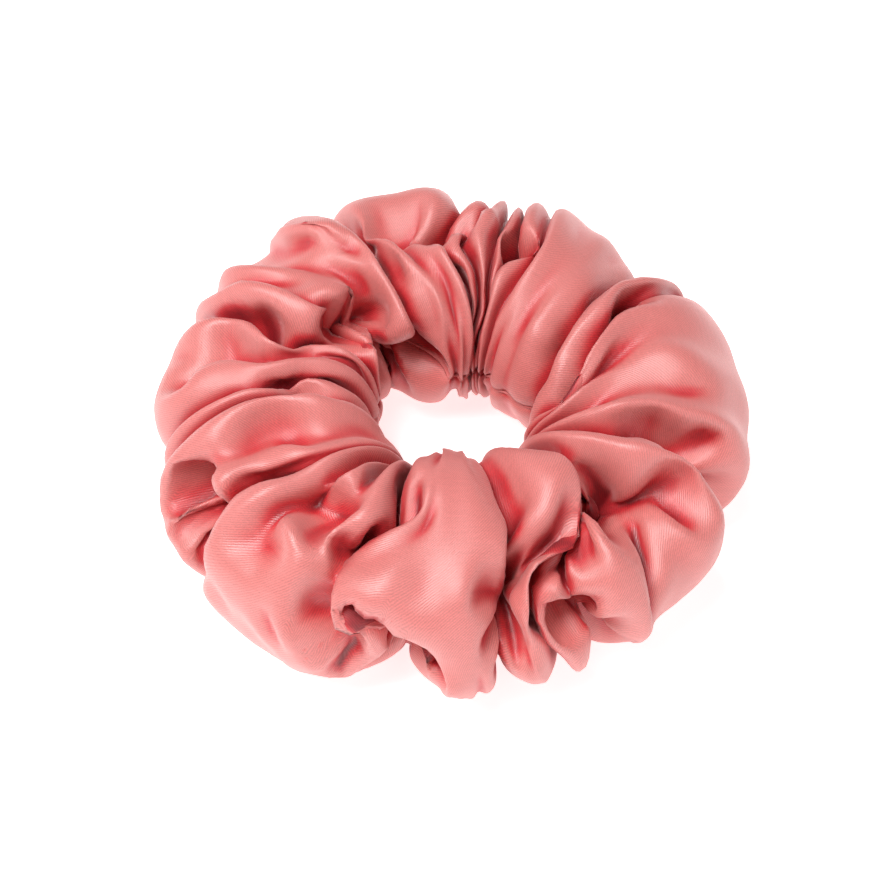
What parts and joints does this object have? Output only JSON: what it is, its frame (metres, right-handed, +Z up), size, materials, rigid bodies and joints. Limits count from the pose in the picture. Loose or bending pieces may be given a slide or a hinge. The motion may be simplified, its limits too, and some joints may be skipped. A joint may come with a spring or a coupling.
{
  "type": "scrunchie",
  "caption": "Gathered satin hair tie: a puffed fabric sleeve over a flat elastic loop that stretches open and springs back.",
  "frame": {"origin": "centre of the hair opening, at the height of the surface that the loop rests on", "axes": "+Z up through the hair opening; the loop is pulled open along +X"},
  "size_m": [0.1092, 0.1084, 0.0384],
  "materials": {
    "satin": "satin",
    "satin_inside": "matte",
    "thread": "satin",
    "elastic": "matte",
    "elastic_thread": "satin"
  },
  "bodies": {
    "left_side": {"sleeve_left": "satin", "seam_allowance_left": "satin_inside", "seam_thread_left": "thread", "elastic_loop": "elastic", "elastic_join_stitches": "elastic_thread", "closing_stitches": "thread"},
    "right_side": {"sleeve_right": "satin", "seam_allowance_right": "satin_inside", "seam_thread_right": "thread"}
  },
  "joints": [
    {"name": "stretch", "type": "slide", "parent": "left_side", "child": "right_side", "axis": [1, 0, 0], "range_m": [0, 0.06], "stiffness_N_per_m": 60, "deforming": ["elastic_loop"]}
  ]
}
